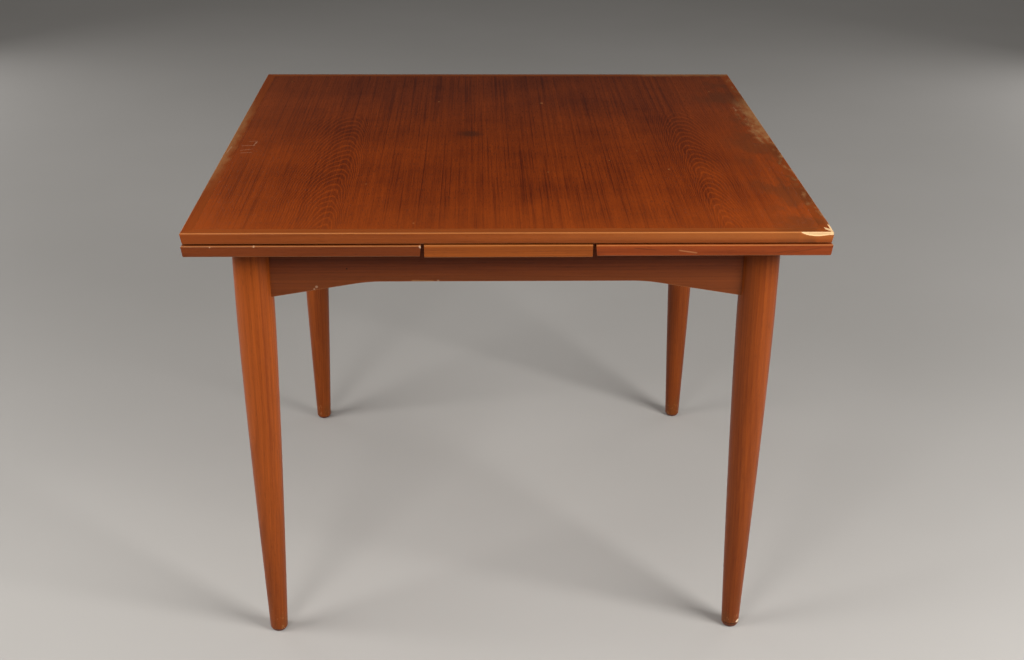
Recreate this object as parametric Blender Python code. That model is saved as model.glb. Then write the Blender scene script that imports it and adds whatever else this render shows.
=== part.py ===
"""Square draw-leaf dining table in teak.

Two leaves lie side by side under a loose top, with a fixed centre board between them.
Each leaf is screwed to a pair of bearers that run through notches in its side apron.
Metres, +Z up.  The origin is on the floor at the middle of the table; +X is the way
the right leaf is drawn, and the plain long side faces -Y.
"""

import math

import bmesh
import bpy
from mathutils import Matrix, Vector

# ---------------------------------------------------------------- driving dimensions

GAP = 0.0003  # between pieces that touch

TOP_WIDTH = 0.900  # X, the way the leaves are drawn
TOP_DEPTH = 0.900  # Y
TOP_HEIGHT = 0.710
TOP_THICKNESS = 0.017
REST_SPACE = 0.0015  # between the loose top and the centre board, filled by the felt
LIP_WIDTH = 0.016  # solid edging round every veneered board
ARRIS_RADIUS = 0.0015
ARRIS_STEPS = 3
TOP_UNDERCUT = 0.0020  # how far an edge leans in from its top to its bottom
LEAF_UNDERCUT = 0.0015

CENTRE_BOARD_WIDTH = 0.233
CENTRE_BOARD_THICKNESS = 0.0185
LEAF_JOINT = 0.0045  # between a leaf and the centre board
LEAF_DROP = 0.0003  # the leaf's face lies this far below the centre board's
LEAF_CLEARANCE = 0.0018  # the leaf is this much thinner than the centre board

LEG_SPACING_X = 0.7346  # between leg centres
LEG_SPACING_Y = 0.7382
LEG_TOP_RADIUS = 0.0280
LEG_FOOT_RADIUS = 0.0137
LEG_STRAIGHT = 0.113  # the turned leg keeps its top radius down to here
LEG_TAPER_POWER = 1.37
LEG_SIDES = 24
LEG_RINGS = 9
FOOT_ROUNDING = 0.0015

APRON_THICKNESS = 0.022
APRON_DEPTH_AT_MIDDLE = 0.0632
ARCH_FLAT_HALF = 0.180
ARCH_RADIUS = 0.250
ARCH_SLOPE = math.radians(9.5)
ARCH_STEPS = 4

BEARER_WIDTH = 0.022
BEARER_DEPTH = 0.034
BEARER_SET_BACK = 0.025  # from the leaf's outer edge to the bearer's end
BEARER_TAIL = 0.280  # how far a bearer reaches past the table's centreline
LEFT_BEARER_Y = 0.256
BEARER_PAIR_SPACING = 0.036  # centre to centre of a left and a right bearer
NOTCH_SIDE_CLEARANCE = 0.0006
DRAW_LENGTH = 0.3295  # how far a leaf comes out before its pegs stop it
PEG_RADIUS = 0.005
PEG_PROJECTION = 0.015

GUIDE_PIN_RADIUS = 0.008
GUIDE_PIN_LENGTH = 0.045
GUIDE_PIN_Y = 0.310
GUIDE_PIN_CLEARANCE = 0.001

BLOCK_LEG_LENGTH = 0.062  # along each apron
BLOCK_TIP = 0.008
BLOCK_DEPTH = 0.060
BLOCK_TOP_SPACE = 0.0055  # below the top of the aprons
BOLT_RADIUS = 0.004
BOLT_IN_LEG = 0.020
BOLT_PAST_NUT = 0.005
BOLT_CLEARANCE = 0.0005
NUT_RADIUS = 0.0075
NUT_THICKNESS = 0.0065

RAIL_WIDTH = 0.024
RAIL_DEPTH = 0.025

SCREW_SHANK_RADIUS = 0.002
SCREW_HEAD_RADIUS = 0.004
SCREW_IN_APRON = 0.028
SCREW_X = 0.075
SCREW_HEAD_DEPTH = 0.0005  # below the board's face

FELT_LENGTH = 0.170
FELT_WIDTH = 0.030
FELT_Y = 0.190

GLIDE_RADIUS = 0.0120
GLIDE_THICKNESS = 0.0040
GLIDE_ROUNDING = 0.0030
GLIDE_NAIL_RADIUS = 0.0015
GLIDE_NAIL_LENGTH = 0.014

SMALL_SIDES = 12  # facets round pegs, pins, bolts and screws

# ---------------------------------------------------------------- derived levels

TOP_BOTTOM = TOP_HEIGHT - TOP_THICKNESS
BOARD_TOP = TOP_BOTTOM - REST_SPACE
BOARD_BOTTOM = BOARD_TOP - CENTRE_BOARD_THICKNESS
FRAME_TOP = BOARD_BOTTOM - GAP
LEAF_TOP = BOARD_TOP - LEAF_DROP
LEAF_BOTTOM = LEAF_TOP - CENTRE_BOARD_THICKNESS + LEAF_CLEARANCE
LEAF_INNER_X = CENTRE_BOARD_WIDTH / 2 + LEAF_JOINT
LEAF_OUTER_X = TOP_WIDTH / 2
LEG_X = LEG_SPACING_X / 2
LEG_Y = LEG_SPACING_Y / 2
APRON_BOTTOM = FRAME_TOP - APRON_DEPTH_AT_MIDDLE
APRON_INNER_X = LEG_X - APRON_THICKNESS / 2
APRON_INNER_Y = LEG_Y - APRON_THICKNESS / 2
BEARER_TOP = LEAF_BOTTOM - GAP
BEARER_BOTTOM = BEARER_TOP - BEARER_DEPTH
BEARER_MIDDLE = (FRAME_TOP + BEARER_BOTTOM) / 2
RIGHT_BEARER_Y = LEFT_BEARER_Y - BEARER_PAIR_SPACING
PEG_X = APRON_INNER_X - PEG_RADIUS - GAP - DRAW_LENGTH
LEG_BOTTOM = GLIDE_THICKNESS + GAP
BLOCK_MIDDLE = FRAME_TOP - BLOCK_TOP_SPACE - BLOCK_DEPTH / 2

# ---------------------------------------------------------------- scene and materials

for old in list(bpy.data.objects):
    bpy.data.objects.remove(old, do_unlink=True)


def finish(name, colour, roughness, metallic=0.0):
    """A plain Principled material."""
    material = bpy.data.materials.new(name)
    material.use_nodes = True
    shader = material.node_tree.nodes["Principled BSDF"]
    shader.inputs["Base Color"].default_value = (*colour, 1.0)
    shader.inputs["Roughness"].default_value = roughness
    shader.inputs["Metallic"].default_value = metallic
    return material


def slide_empty(name, location):
    """An empty on a slide's line, which the moving pieces hang from."""
    empty = bpy.data.objects.new(name, None)
    empty.location = location
    empty.empty_display_size = 0.05
    bpy.context.scene.collection.objects.link(empty)
    return empty


TEAK_VENEER = finish("teak_veneer", (0.165, 0.040, 0.010), 0.38)
SOLID_TEAK = finish("solid_teak", (0.235, 0.066, 0.018), 0.42)
BEECH = finish("beech", (0.420, 0.240, 0.115), 0.55)
STEEL = finish("zinc_steel", (0.520, 0.500, 0.460), 0.35, 1.0)
FELT = finish("green_felt", (0.050, 0.095, 0.060), 0.95)
PLASTIC = finish("brown_plastic", (0.150, 0.052, 0.026), 0.45)

TOP_LIFT = slide_empty("top_lift_line", (0, 0, TOP_BOTTOM))
LEFT_DRAW = slide_empty("left_leaf_draw_line", (-LEAF_INNER_X, 0, LEAF_BOTTOM))
RIGHT_DRAW = slide_empty("right_leaf_draw_line", (LEAF_INNER_X, 0, LEAF_BOTTOM))

# ---------------------------------------------------------------- building functions


def add_object(name, bm, material=None, parent=None, smooth=False):
    """Turns a bmesh into an object.  The mesh is given in world coordinates."""
    bmesh.ops.recalc_face_normals(bm, faces=bm.faces)
    mesh = bpy.data.meshes.new(name)
    bm.to_mesh(mesh)
    bm.free()
    if smooth:
        mesh.shade_smooth()
        mesh.set_sharp_from_angle(angle=math.radians(35))
    piece = bpy.data.objects.new(name, mesh)
    bpy.context.scene.collection.objects.link(piece)
    if material:
        mesh.materials.append(material)
    if parent:
        mesh.transform(Matrix.Translation(-parent.location))
        piece.parent = parent
    return piece


def skin(bm, rings):
    """Closes a stack of equal rings of points with side faces and two end caps."""
    loops = [[bm.verts.new(point) for point in ring] for ring in rings]
    count = len(loops[0])
    for low, high in zip(loops, loops[1:]):
        for i in range(count):
            j = (i + 1) % count
            bm.faces.new((low[i], low[j], high[j], high[i]))
    bm.faces.new(loops[0])
    bm.faces.new(loops[-1])


def slab(name, low, high, material=None, parent=None):
    """A rectangular piece between two corners."""
    bm = bmesh.new()
    outline = [(low[0], low[1]), (high[0], low[1]), (high[0], high[1]), (low[0], high[1])]
    skin(bm, [[(x, y, z) for x, y in outline] for z in (low[2], high[2])])
    return add_object(name, bm, material, parent)


def prism(name, outline, place, low, high, material=None, parent=None):
    """An outline pushed from one depth to another; place() maps (u, v, depth) to a point."""
    bm = bmesh.new()
    skin(bm, [[place(u, v, depth) for u, v in outline] for depth in (low, high)])
    return add_object(name, bm, material, parent)


def turned(name, profile, foot, axis=(0, 0, 1), sides=SMALL_SIDES, material=None, parent=None):
    """A turned piece: (radius, distance along the axis from foot) pairs, in order."""
    direction = Vector(axis).normalized()
    turn = Vector((0, 0, 1)).rotation_difference(direction).to_matrix()
    rings = []
    for radius, along in profile:
        ring = []
        for i in range(sides):
            angle = 2 * math.pi * i / sides
            flat = Vector((radius * math.cos(angle), radius * math.sin(angle), along))
            ring.append(Vector(foot) + turn @ flat)
        rings.append(ring)
    bm = bmesh.new()
    skin(bm, rings)
    return add_object(name, bm, material, parent, smooth=True)


def helper(piece):
    """Marks a piece as a cutter that isn't part of the table."""
    piece.hide_render = True
    piece.display_type = "WIRE"
    return piece


def cut(piece, cutter):
    """Takes the cutter's shape out of the piece."""
    boolean = piece.modifiers.new("cut", "BOOLEAN")
    boolean.operation = "DIFFERENCE"
    boolean.solver = "EXACT"
    boolean.object = cutter


# ---------------------------------------------------------------- veneered boards

SIDES = {"left": (-1, 0, 0), "right": (1, 0, 0), "front": (0, -1, 0), "back": (0, 1, 0)}


def arc(centre, radius, start, end, steps):
    """Points along an arc, angles in degrees."""
    points = []
    for i in range(steps + 1):
        angle = math.radians(start + (end - start) * i / steps)
        points.append((centre[0] + radius * math.cos(angle), centre[1] + radius * math.sin(angle)))
    return points


def edge_profile(thickness, undercut):
    """The edging's section: (inset from the edge, height above its underside) pairs."""
    radius = ARRIS_RADIUS
    outline = [(LIP_WIDTH, 0.0)]
    outline += arc((undercut + radius, radius), radius, 270, 180, ARRIS_STEPS)
    outline += arc((radius, thickness - radius), radius, 180, 90, ARRIS_STEPS)
    outline.append((LIP_WIDTH, thickness))
    return outline


def lipping(name, board, side, mitred, parent):
    """One strip of solid edging, mitred into its neighbours at 45 degrees."""
    low, high, bottom, profile = board
    middle = Vector(((low[0] + high[0]) / 2, (low[1] + high[1]) / 2, bottom))
    half = Vector(((high[0] - low[0]) / 2, (high[1] - low[1]) / 2))
    outward = Vector(SIDES[side])
    along = Vector((abs(outward.y), abs(outward.x), 0))
    reach = half.x if outward.x else half.y
    half_run = half.y if outward.x else half.x
    rings = []
    for end in (-1, 1):
        ring = []
        for inset, height in profile:
            run = half_run - (inset + GAP if mitred else 0.0)
            ring.append(middle + outward * (reach - inset) + along * end * run + Vector((0, 0, height)))
        rings.append(ring)
    bm = bmesh.new()
    skin(bm, rings)
    return add_object(name, bm, SOLID_TEAK, parent, smooth=True)


def lipped_board(prefix, low, high, bottom, thickness, undercut, parent):
    """A veneered panel with mitred solid edging on its four sides."""
    board = (low, high, bottom, edge_profile(thickness, undercut))
    inset = LIP_WIDTH + GAP
    slab(
        f"{prefix}_panel",
        (low[0] + inset, low[1] + inset, bottom),
        (high[0] - inset, high[1] - inset, bottom + thickness),
        TEAK_VENEER,
        parent,
    )
    for side in ("front", "back", "left", "right"):
        lipping(f"{prefix}_lipping_{side}", board, side, True, parent)


HALF_DEPTH = TOP_DEPTH / 2

lipped_board(
    "top",
    (-TOP_WIDTH / 2, -HALF_DEPTH),
    (TOP_WIDTH / 2, HALF_DEPTH),
    TOP_BOTTOM,
    TOP_THICKNESS,
    TOP_UNDERCUT,
    TOP_LIFT,
)

for side_name, low_x, high_x, line in (
    ("left", -LEAF_OUTER_X, -LEAF_INNER_X, LEFT_DRAW),
    ("right", LEAF_INNER_X, LEAF_OUTER_X, RIGHT_DRAW),
):
    lipped_board(
        f"{side_name}_leaf",
        (low_x, -HALF_DEPTH),
        (high_x, HALF_DEPTH),
        LEAF_BOTTOM,
        LEAF_TOP - LEAF_BOTTOM,
        LEAF_UNDERCUT,
        line,
    )

# ---------------------------------------------------------------- guide pins and centre board

centre_board = slab(
    "centre_board_panel",
    (-CENTRE_BOARD_WIDTH / 2, -HALF_DEPTH + LIP_WIDTH + GAP, BOARD_BOTTOM),
    (CENTRE_BOARD_WIDTH / 2, HALF_DEPTH - LIP_WIDTH - GAP, BOARD_TOP),
    TEAK_VENEER,
)
centre_edges = (
    (-CENTRE_BOARD_WIDTH / 2, -HALF_DEPTH),
    (CENTRE_BOARD_WIDTH / 2, HALF_DEPTH),
    BOARD_BOTTOM,
    edge_profile(CENTRE_BOARD_THICKNESS, LEAF_UNDERCUT),
)
for side_name in ("front", "back"):
    lipping(f"centre_board_lipping_{side_name}", centre_edges, side_name, False, None)

for end_name, way in (("front", -1), ("back", 1)):
    pin_tip = GUIDE_PIN_RADIUS * 0.7
    turned(
        f"guide_pin_{end_name}",
        (
            (pin_tip, 0.0),
            (GUIDE_PIN_RADIUS, pin_tip),
            (GUIDE_PIN_RADIUS, GUIDE_PIN_LENGTH - GAP),
        ),
        (0, way * GUIDE_PIN_Y, TOP_BOTTOM - GUIDE_PIN_LENGTH),
        sides=2 * SMALL_SIDES,
        material=BEECH,
        parent=TOP_LIFT,
    )
    hole_radius = GUIDE_PIN_RADIUS + GUIDE_PIN_CLEARANCE
    hole = turned(
        f"guide_hole_cutter_{end_name}",
        ((hole_radius, 0.0), (hole_radius, 2 * CENTRE_BOARD_THICKNESS)),
        (0, way * GUIDE_PIN_Y, BOARD_BOTTOM - CENTRE_BOARD_THICKNESS / 2),
        sides=2 * SMALL_SIDES,
    )
    cut(centre_board, helper(hole))
    felt_y = way * FELT_Y
    slab(
        f"felt_pad_{end_name}",
        (-FELT_LENGTH / 2, felt_y - FELT_WIDTH / 2, BOARD_TOP + GAP),
        (FELT_LENGTH / 2, felt_y + FELT_WIDTH / 2, TOP_BOTTOM - GAP),
        FELT,
    )

# ---------------------------------------------------------------- legs and glides


def leg_radius(height):
    """The turned leg's radius at a height above the floor."""
    straight_from = FRAME_TOP - LEG_STRAIGHT
    if height >= straight_from:
        return LEG_TOP_RADIUS
    share = (straight_from - height) / (straight_from - LEG_BOTTOM)
    return LEG_TOP_RADIUS - (LEG_TOP_RADIUS - LEG_FOOT_RADIUS) * share**LEG_TAPER_POWER


def leg_profile():
    """(radius, height above the leg's end) from the rounded foot up to the top."""
    points = []
    for i in range(ARRIS_STEPS):
        angle = math.radians(90 * i / ARRIS_STEPS)
        height = FOOT_ROUNDING * (1 - math.cos(angle))
        radius = leg_radius(LEG_BOTTOM + height) - FOOT_ROUNDING * (1 - math.sin(angle))
        points.append((radius, height))
    straight_from = FRAME_TOP - LEG_STRAIGHT - LEG_BOTTOM
    for i in range(LEG_RINGS + 1):
        height = FOOT_ROUNDING + (straight_from - FOOT_ROUNDING) * i / LEG_RINGS
        points.append((leg_radius(LEG_BOTTOM + height), height))
    points.append((LEG_TOP_RADIUS, FRAME_TOP - LEG_BOTTOM))
    return points


CORNERS = {
    "front_left": (-1, -1),
    "front_right": (1, -1),
    "back_left": (-1, 1),
    "back_right": (1, 1),
}
legs = {}
leg_cutters = {}
for corner, (way_x, way_y) in CORNERS.items():
    foot = (way_x * LEG_X, way_y * LEG_Y, LEG_BOTTOM)
    legs[corner] = turned(
        f"leg_{corner}", leg_profile(), foot, sides=LEG_SIDES, material=SOLID_TEAK
    )
    nail_hole = turned(
        f"nail_cutter_{corner}",
        (
            (GLIDE_NAIL_RADIUS + GAP, -GLIDE_NAIL_LENGTH),
            (GLIDE_NAIL_RADIUS + GAP, GLIDE_NAIL_LENGTH + GAP),
        ),
        foot,
    )
    cut(legs[corner], helper(nail_hole))
    round_centre = (GLIDE_RADIUS - GLIDE_ROUNDING, GLIDE_ROUNDING)
    turned(
        f"glide_{corner}",
        arc(round_centre, GLIDE_ROUNDING, 270, 360, ARRIS_STEPS)
        + [
            (GLIDE_RADIUS, GLIDE_THICKNESS),
            (GLIDE_NAIL_RADIUS, GLIDE_THICKNESS),
            (GLIDE_NAIL_RADIUS, GLIDE_THICKNESS + GLIDE_NAIL_LENGTH),
        ],
        (foot[0], foot[1], 0.0),
        sides=LEG_SIDES,
        material=PLASTIC,
    )
    seat_radius = LEG_TOP_RADIUS + GAP
    seat = turned(
        f"leg_seat_cutter_{corner}",
        ((seat_radius, 0.0), (seat_radius, LEG_STRAIGHT + APRON_DEPTH_AT_MIDDLE)),
        (foot[0], foot[1], FRAME_TOP - LEG_STRAIGHT),
        sides=LEG_SIDES,
    )
    leg_cutters[corner] = helper(seat)

# ---------------------------------------------------------------- aprons


def apron_outline(half_span):
    """A straight top edge over a shallow arch: flat, a large round, then a straight slope."""
    round_centre = (ARCH_FLAT_HALF, APRON_BOTTOM - ARCH_RADIUS)
    slope = math.degrees(ARCH_SLOPE)
    half = arc(round_centre, ARCH_RADIUS, 90, 90 - slope, ARCH_STEPS)
    last_x, last_z = half[-1]
    half.append((half_span, last_z - (half_span - last_x) * math.tan(ARCH_SLOPE)))
    half.append((half_span, FRAME_TOP))
    return half + [(-x, z) for x, z in reversed(half)]


aprons = {}
for side_name, way in (("front", -1), ("back", 1)):
    aprons[side_name] = prism(
        f"apron_{side_name}",
        apron_outline(LEG_X),
        lambda u, v, depth: (u, depth, v),
        way * LEG_Y - APRON_THICKNESS / 2,
        way * LEG_Y + APRON_THICKNESS / 2,
        SOLID_TEAK,
    )
for side_name, way in (("left", -1), ("right", 1)):
    aprons[side_name] = prism(
        f"apron_{side_name}",
        apron_outline(LEG_Y),
        lambda u, v, depth: (depth, u, v),
        way * LEG_X - APRON_THICKNESS / 2,
        way * LEG_X + APRON_THICKNESS / 2,
        SOLID_TEAK,
    )
for corner, cutter in leg_cutters.items():
    for side_name in corner.split("_"):
        cut(aprons[side_name], cutter)

# ---------------------------------------------------------------- centre board screws

SCREW_HEAD_HEIGHT = SCREW_HEAD_RADIUS - SCREW_SHANK_RADIUS
for end_name, way_y in (("front", -1), ("back", 1)):
    for side_name, way_x in (("left", -1), ("right", 1)):
        place = (way_x * SCREW_X, way_y * LEG_Y, BOARD_TOP - SCREW_HEAD_DEPTH)
        shank_end = -(CENTRE_BOARD_THICKNESS + SCREW_IN_APRON)
        turned(
            f"centre_board_screw_{end_name}_{side_name}",
            (
                (SCREW_SHANK_RADIUS * 0.5, shank_end),
                (SCREW_SHANK_RADIUS, shank_end + 2 * SCREW_SHANK_RADIUS),
                (SCREW_SHANK_RADIUS, -SCREW_HEAD_HEIGHT),
                (SCREW_HEAD_RADIUS, 0.0),
            ),
            place,
            material=STEEL,
        )
        shank_hole = SCREW_SHANK_RADIUS + GAP
        mouth = SCREW_HEAD_RADIUS + GAP
        countersink = turned(
            f"screw_cutter_{end_name}_{side_name}",
            (
                (shank_hole, shank_end - GAP),
                (shank_hole, -SCREW_HEAD_HEIGHT - GAP),
                (mouth, -GAP),
                (mouth, 2 * REST_SPACE),
            ),
            place,
        )
        helper(countersink)
        cut(centre_board, countersink)
        cut(aprons[end_name], countersink)

# ---------------------------------------------------------------- corner blocks, bolts and nuts

for corner, (way_x, way_y) in CORNERS.items():
    face_x = APRON_INNER_X - GAP
    face_y = APRON_INNER_Y - GAP
    outline = (
        (face_x, face_y),
        (face_x - BLOCK_LEG_LENGTH, face_y),
        (face_x - BLOCK_LEG_LENGTH, face_y - BLOCK_TIP),
        (face_x - BLOCK_TIP, face_y - BLOCK_LEG_LENGTH),
        (face_x, face_y - BLOCK_LEG_LENGTH),
    )
    block = prism(
        f"corner_block_{corner}",
        [(way_x * x, way_y * y) for x, y in outline],
        lambda u, v, depth: (u, v, depth),
        BLOCK_MIDDLE - BLOCK_DEPTH / 2,
        BLOCK_MIDDLE + BLOCK_DEPTH / 2,
        BEECH,
    )
    cut(block, leg_cutters[corner])
    # The bolt lies on the corner's diagonal, so it needs equal steps in X and Y from
    # the leg's centre to the block's inner face.
    inward = Vector((-way_x, -way_y, 0)).normalized()
    leg_centre = Vector((way_x * LEG_X, way_y * LEG_Y, BLOCK_MIDDLE))
    face_sum = face_x + face_y - BLOCK_LEG_LENGTH - BLOCK_TIP
    to_face = (LEG_X + LEG_Y - face_sum) / math.sqrt(2)
    bolt_start = LEG_TOP_RADIUS - BOLT_IN_LEG
    bolt_end = to_face + GAP + NUT_THICKNESS + BOLT_PAST_NUT
    turned(
        f"leg_bolt_{corner}",
        (
            (BOLT_RADIUS * 0.6, bolt_start),
            (BOLT_RADIUS, bolt_start + BOLT_RADIUS),
            (BOLT_RADIUS, bolt_end - BOLT_RADIUS * 0.3),
            (BOLT_RADIUS * 0.7, bolt_end),
        ),
        leg_centre,
        axis=inward,
        material=STEEL,
    )
    bolt_hole = turned(
        f"bolt_cutter_{corner}",
        (
            (BOLT_RADIUS + BOLT_CLEARANCE, bolt_start - BOLT_CLEARANCE),
            (BOLT_RADIUS + BOLT_CLEARANCE, bolt_end + NUT_THICKNESS),
        ),
        leg_centre,
        axis=inward,
    )
    helper(bolt_hole)
    cut(legs[corner], bolt_hole)
    cut(block, bolt_hole)
    nut = turned(
        f"leg_nut_{corner}",
        ((NUT_RADIUS, to_face + GAP), (NUT_RADIUS, to_face + GAP + NUT_THICKNESS)),
        leg_centre,
        axis=inward,
        sides=6,
        material=STEEL,
    )
    cut(nut, bolt_hole)

# ---------------------------------------------------------------- bearers and their stop pegs


def bearer_outline():
    """(distance out from the table's centreline, height) of one bearer, seen from the side."""
    outer = LEAF_OUTER_X - BEARER_SET_BACK
    nose = BEARER_DEPTH / 2
    step = LEAF_INNER_X - LEAF_JOINT / 2
    return [
        (-BEARER_TAIL, BEARER_BOTTOM),
        (outer - nose, BEARER_BOTTOM),
        (outer, BEARER_TOP - nose),
        (outer, BEARER_TOP),
        (step, BEARER_TOP),
        (step, FRAME_TOP),
        (-BEARER_TAIL, FRAME_TOP),
    ]


for side_name, way_x, centre_y, peg_way, line in (
    ("left", -1, LEFT_BEARER_Y, 1, LEFT_DRAW),
    ("right", 1, RIGHT_BEARER_Y, -1, RIGHT_DRAW),
):
    for end_name, way_y in (("front", -1), ("back", 1)):
        bearer_y = way_y * centre_y
        bearer = prism(
            f"{side_name}_bearer_{end_name}",
            [(way_x * u, v) for u, v in bearer_outline()],
            lambda u, v, depth: (u, depth, v),
            bearer_y - BEARER_WIDTH / 2,
            bearer_y + BEARER_WIDTH / 2,
            BEECH,
            line,
        )
        notch_half = BEARER_WIDTH / 2 + NOTCH_SIDE_CLEARANCE
        notch = slab(
            f"notch_cutter_{side_name}_{end_name}",
            (way_x * LEG_X - APRON_THICKNESS, bearer_y - notch_half, BEARER_BOTTOM - GAP),
            (way_x * LEG_X + APRON_THICKNESS, bearer_y + notch_half, TOP_HEIGHT),
        )
        cut(aprons[side_name], helper(notch))
        peg_axis = (0, way_y * peg_way, 0)
        peg_foot = (way_x * PEG_X, bearer_y, BEARER_MIDDLE)
        turned(
            f"{side_name}_stop_peg_{end_name}",
            (
                (PEG_RADIUS, -BEARER_WIDTH / 2),
                (PEG_RADIUS, BEARER_WIDTH / 2 + PEG_PROJECTION - PEG_RADIUS * 0.2),
                (PEG_RADIUS * 0.8, BEARER_WIDTH / 2 + PEG_PROJECTION),
            ),
            peg_foot,
            axis=peg_axis,
            material=BEECH,
            parent=line,
        )
        peg_hole = turned(
            f"peg_cutter_{side_name}_{end_name}",
            (
                (PEG_RADIUS + GAP, -BEARER_WIDTH),
                (PEG_RADIUS + GAP, BEARER_WIDTH),
            ),
            peg_foot,
            axis=peg_axis,
            parent=line,
        )
        cut(bearer, helper(peg_hole))

# ---------------------------------------------------------------- rail under the bearers

rail_half = APRON_INNER_Y - GAP
slab(
    "bearer_rail",
    (-RAIL_WIDTH / 2, -rail_half, BEARER_BOTTOM - GAP - RAIL_DEPTH),
    (RAIL_WIDTH / 2, rail_half, BEARER_BOTTOM - GAP),
    BEECH,
)
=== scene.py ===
"""Looks of a square draw-leaf dining table in teak, in the order a maker puts it together."""

import math

import bmesh
import bpy
from mathutils import Matrix, Vector, noise


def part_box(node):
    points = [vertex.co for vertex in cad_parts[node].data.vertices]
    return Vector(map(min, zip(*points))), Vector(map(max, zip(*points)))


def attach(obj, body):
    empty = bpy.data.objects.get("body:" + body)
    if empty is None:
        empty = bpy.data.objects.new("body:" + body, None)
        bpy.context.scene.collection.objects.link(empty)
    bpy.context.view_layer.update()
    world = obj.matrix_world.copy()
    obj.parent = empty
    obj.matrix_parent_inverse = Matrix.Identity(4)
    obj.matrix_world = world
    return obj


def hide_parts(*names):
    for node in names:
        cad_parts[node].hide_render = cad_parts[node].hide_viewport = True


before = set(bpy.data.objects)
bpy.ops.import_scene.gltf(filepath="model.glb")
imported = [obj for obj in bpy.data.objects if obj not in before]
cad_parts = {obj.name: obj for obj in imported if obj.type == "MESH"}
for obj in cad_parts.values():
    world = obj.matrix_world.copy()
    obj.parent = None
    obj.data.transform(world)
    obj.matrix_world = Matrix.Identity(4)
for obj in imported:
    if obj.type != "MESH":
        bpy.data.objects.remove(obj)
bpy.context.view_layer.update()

# ---------------------------------------------------------------- turned legs
# Four solid teak legs, each turned from one long blank with the grain running up it:
# straight for the depth of the apron, then a slow swelling taper to a softly rounded foot.
# The blank is cut a little off the heart of the tree, so the rings show as long flames.


class Field:
    """One number that varies over a surface, as a node socket, with ordinary arithmetic."""

    def __init__(self, socket):
        self.socket = socket

    def math(self, operation, other=0.0, third=None):
        node = self.socket.id_data.nodes.new("ShaderNodeMath")
        node.operation = operation
        for place, value in enumerate((self, other, third)):
            if isinstance(value, Field):
                value.socket.id_data.links.new(value.socket, node.inputs[place])
            elif value is not None:
                node.inputs[place].default_value = value
        return Field(node.outputs[0])

    def __add__(self, other):
        return self.math("ADD", other)

    def __sub__(self, other):
        return self.math("SUBTRACT", other)

    def __mul__(self, other):
        return self.math("MULTIPLY", other)

    def __truediv__(self, other):
        return self.math("DIVIDE", other)

    def size(self):
        return self.math("ABSOLUTE")

    def step(self, low, high):
        """0 below low, 1 above high, and a soft rise between them."""
        node = self.socket.id_data.nodes.new("ShaderNodeMapRange")
        node.interpolation_type = "SMOOTHSTEP"
        node.inputs["From Min"].default_value = low
        node.inputs["From Max"].default_value = high
        self.socket.id_data.links.new(self.socket, node.inputs["Value"])
        return Field(node.outputs["Result"])


def cloud(x, y, z, detail=2.0, roughness=0.5):
    """Smooth random variation about 0, roughly from -0.3 to 0.3, one lump per unit."""
    tree = x.socket.id_data
    point = tree.nodes.new("ShaderNodeCombineXYZ")
    for place, value in enumerate((x, y, z)):
        if isinstance(value, Field):
            tree.links.new(value.socket, point.inputs[place])
        else:
            point.inputs[place].default_value = value
    node = tree.nodes.new("ShaderNodeTexNoise")
    node.inputs["Scale"].default_value = 1.0
    node.inputs["Detail"].default_value = detail
    node.inputs["Roughness"].default_value = roughness
    tree.links.new(point.outputs[0], node.inputs["Vector"])
    return Field(node.outputs["Fac"]) - 0.5


def even_cloud(place, lumps, detail=2.0, roughness=0.5):
    """The same in every direction, with this many lumps to the metre."""
    return cloud(place["x"] * lumps, place["y"] * lumps, place["z"] * lumps, detail, roughness)


def blend_colours(share, under, over, kind="MIX"):
    """Lays one colour over another; each is a colour or a colour socket."""
    tree = (share if isinstance(share, Field) else Field(under)).socket.id_data
    node = tree.nodes.new("ShaderNodeMix")
    node.data_type = "RGBA"
    node.blend_type = kind
    for socket, value in ((node.inputs[0], share), (node.inputs[6], under), (node.inputs[7], over)):
        if isinstance(value, Field):
            tree.links.new(value.socket, socket)
        elif isinstance(value, bpy.types.NodeSocket):
            tree.links.new(value, socket)
        elif isinstance(value, tuple):
            socket.default_value = (*value, 1.0)
        else:
            socket.default_value = value
    return node.outputs[2]


def tone_curve(field, *stops):
    """Reads a number between given (place, value) stops."""
    node = field.socket.id_data.nodes.new("ShaderNodeValToRGB")
    field.socket.id_data.links.new(field.socket, node.inputs[0])
    ramp = node.color_ramp
    while len(ramp.elements) < len(stops):
        ramp.elements.new(0.5)
    for element, (place, value) in zip(ramp.elements, stops):
        element.position = place
        element.color = (value, value, value, 1.0)
    return Field(node.outputs["Color"])


def start_material(name, roughness, specular=0.18):
    """A new material, its shader, and the piece's own coordinates in metres."""
    material = bpy.data.materials.new(name)
    material.use_nodes = True
    tree = material.node_tree
    shader = tree.nodes["Principled BSDF"]
    shader.inputs["Roughness"].default_value = roughness
    shader.inputs["Specular IOR Level"].default_value = specular
    place = tree.nodes.new("ShaderNodeTexCoord")
    split = tree.nodes.new("ShaderNodeSeparateXYZ")
    tree.links.new(place.outputs["Object"], split.inputs[0])
    return material, shader, dict(zip("xyz", map(Field, split.outputs)))


def own_values(tree):
    """A random number of each piece's own, and the tint set on the piece."""
    node = tree.nodes.new("ShaderNodeObjectInfo")
    return Field(node.outputs["Random"]), node.outputs["Color"]


def painted(tree, name):
    """A value painted on the mesh's points, such as how rubbed and highlit an edge is."""
    node = tree.nodes.new("ShaderNodeAttribute")
    node.attribute_name = name
    return Field(node.outputs["Fac"])


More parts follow.
